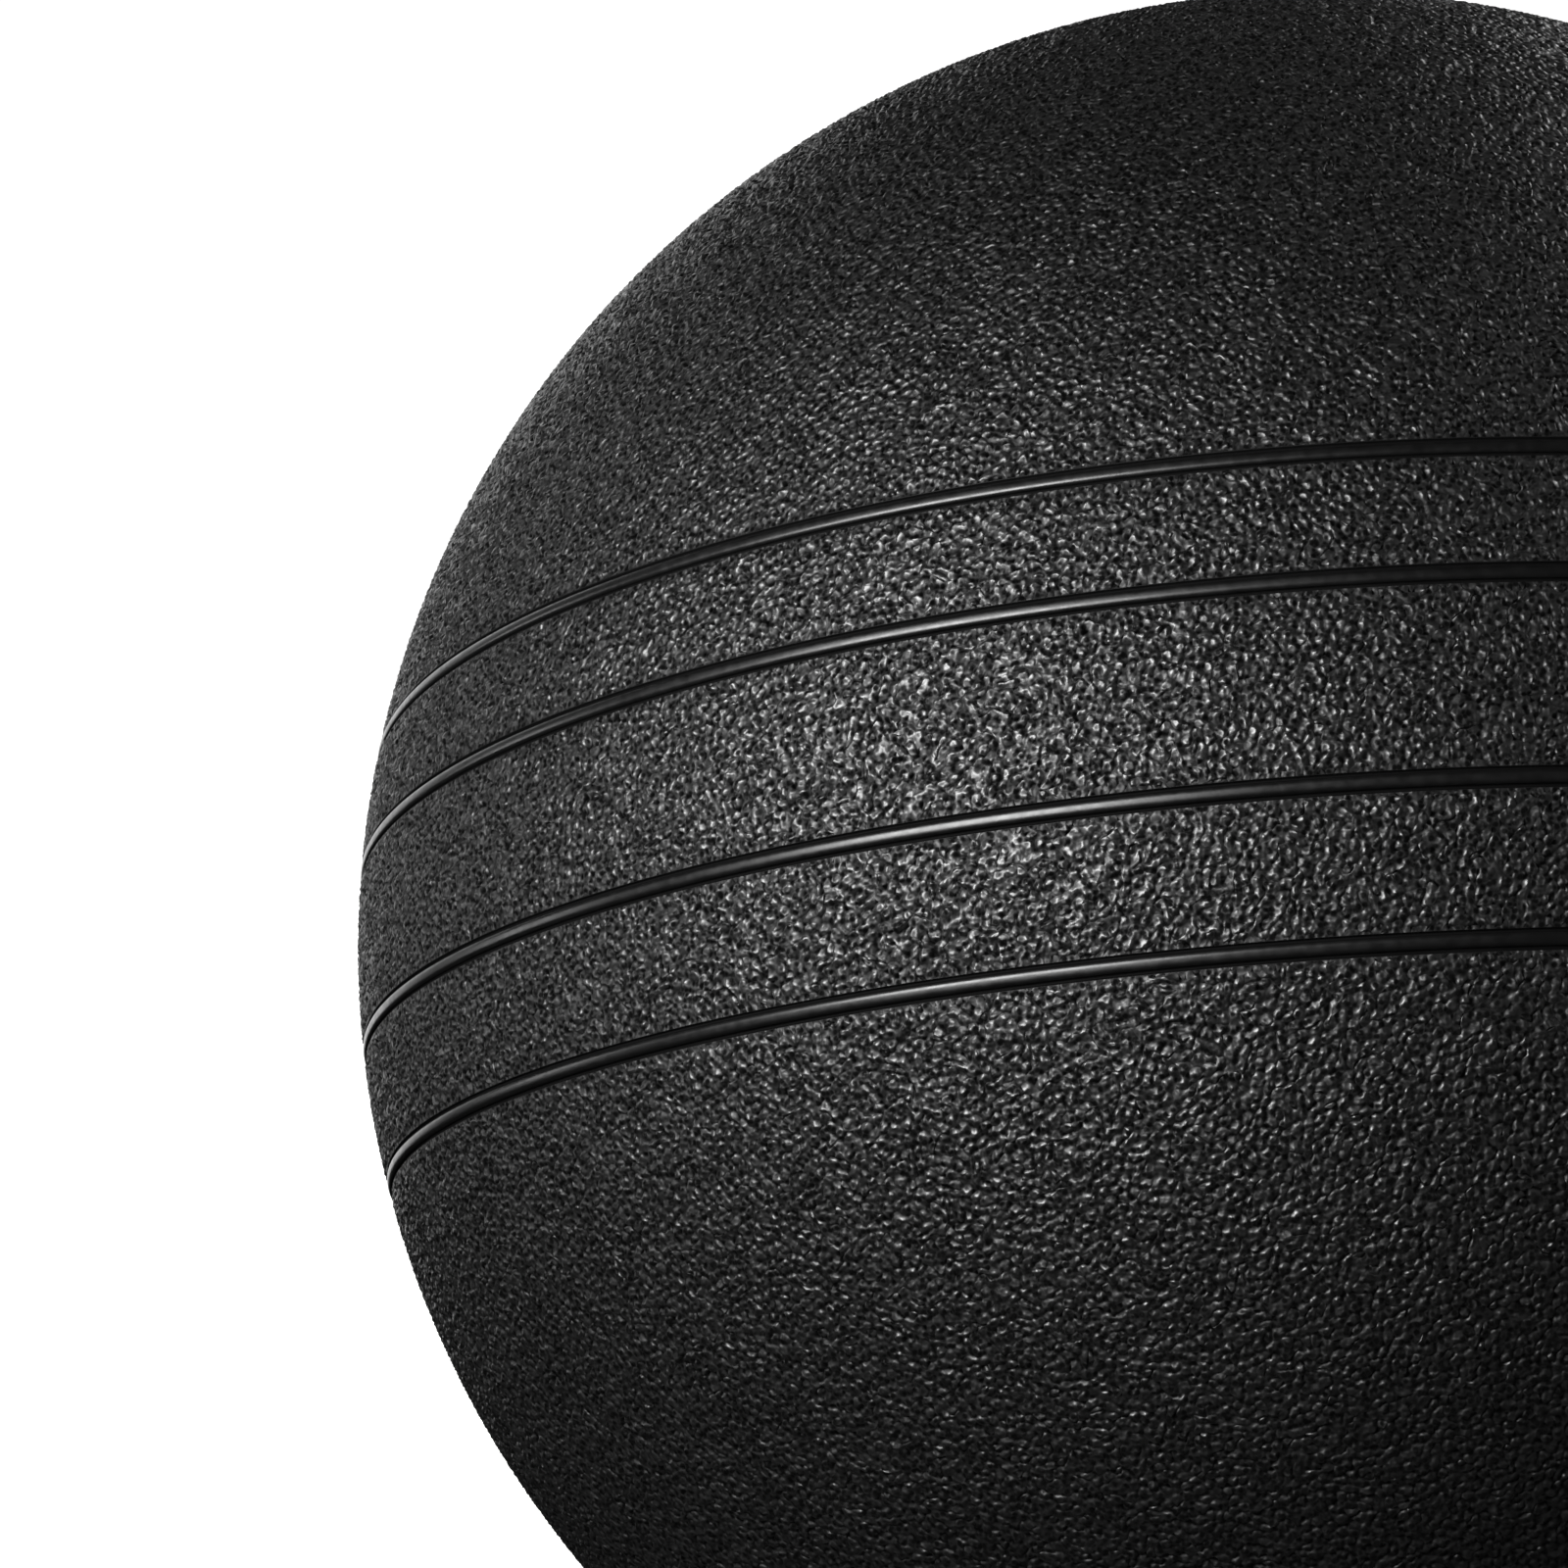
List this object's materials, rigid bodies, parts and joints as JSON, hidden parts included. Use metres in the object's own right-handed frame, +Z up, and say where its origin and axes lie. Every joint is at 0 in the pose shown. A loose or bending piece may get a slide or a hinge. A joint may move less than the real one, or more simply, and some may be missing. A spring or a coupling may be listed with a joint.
{
  "type": "slam medicine ball",
  "caption": "Black pebble-grained slam-type medicine ball, sand filled, with four smooth moulded lines round its middle and a needle valve.",
  "frame": {"origin": "on the floor, under the middle of the ball, at the centre of the flattened patch that it rests on", "axes": "+Z up; the ball's moulding axis, from the filling plug to the valve, leans 20 degrees from +Z towards +Y; X lies across that lean"},
  "size_m": [0.23, 0.23, 0.2285],
  "materials": {
    "shell_rubber": "matte",
    "liner_rubber": "matte",
    "sand": "matte",
    "plug_rubber": "matte",
    "cover_rubber": "matte",
    "valve_rubber": "satin",
    "core_rubber": "satin"
  },
  "bodies": {
    "root": {"outer_shell": "shell_rubber", "inner_bladder": "liner_rubber", "sand_fill": "sand", "filler_plug": "plug_rubber", "plug_cover": "cover_rubber", "valve_housing": "valve_rubber", "valve_core": "core_rubber"}
  },
  "joints": []
}
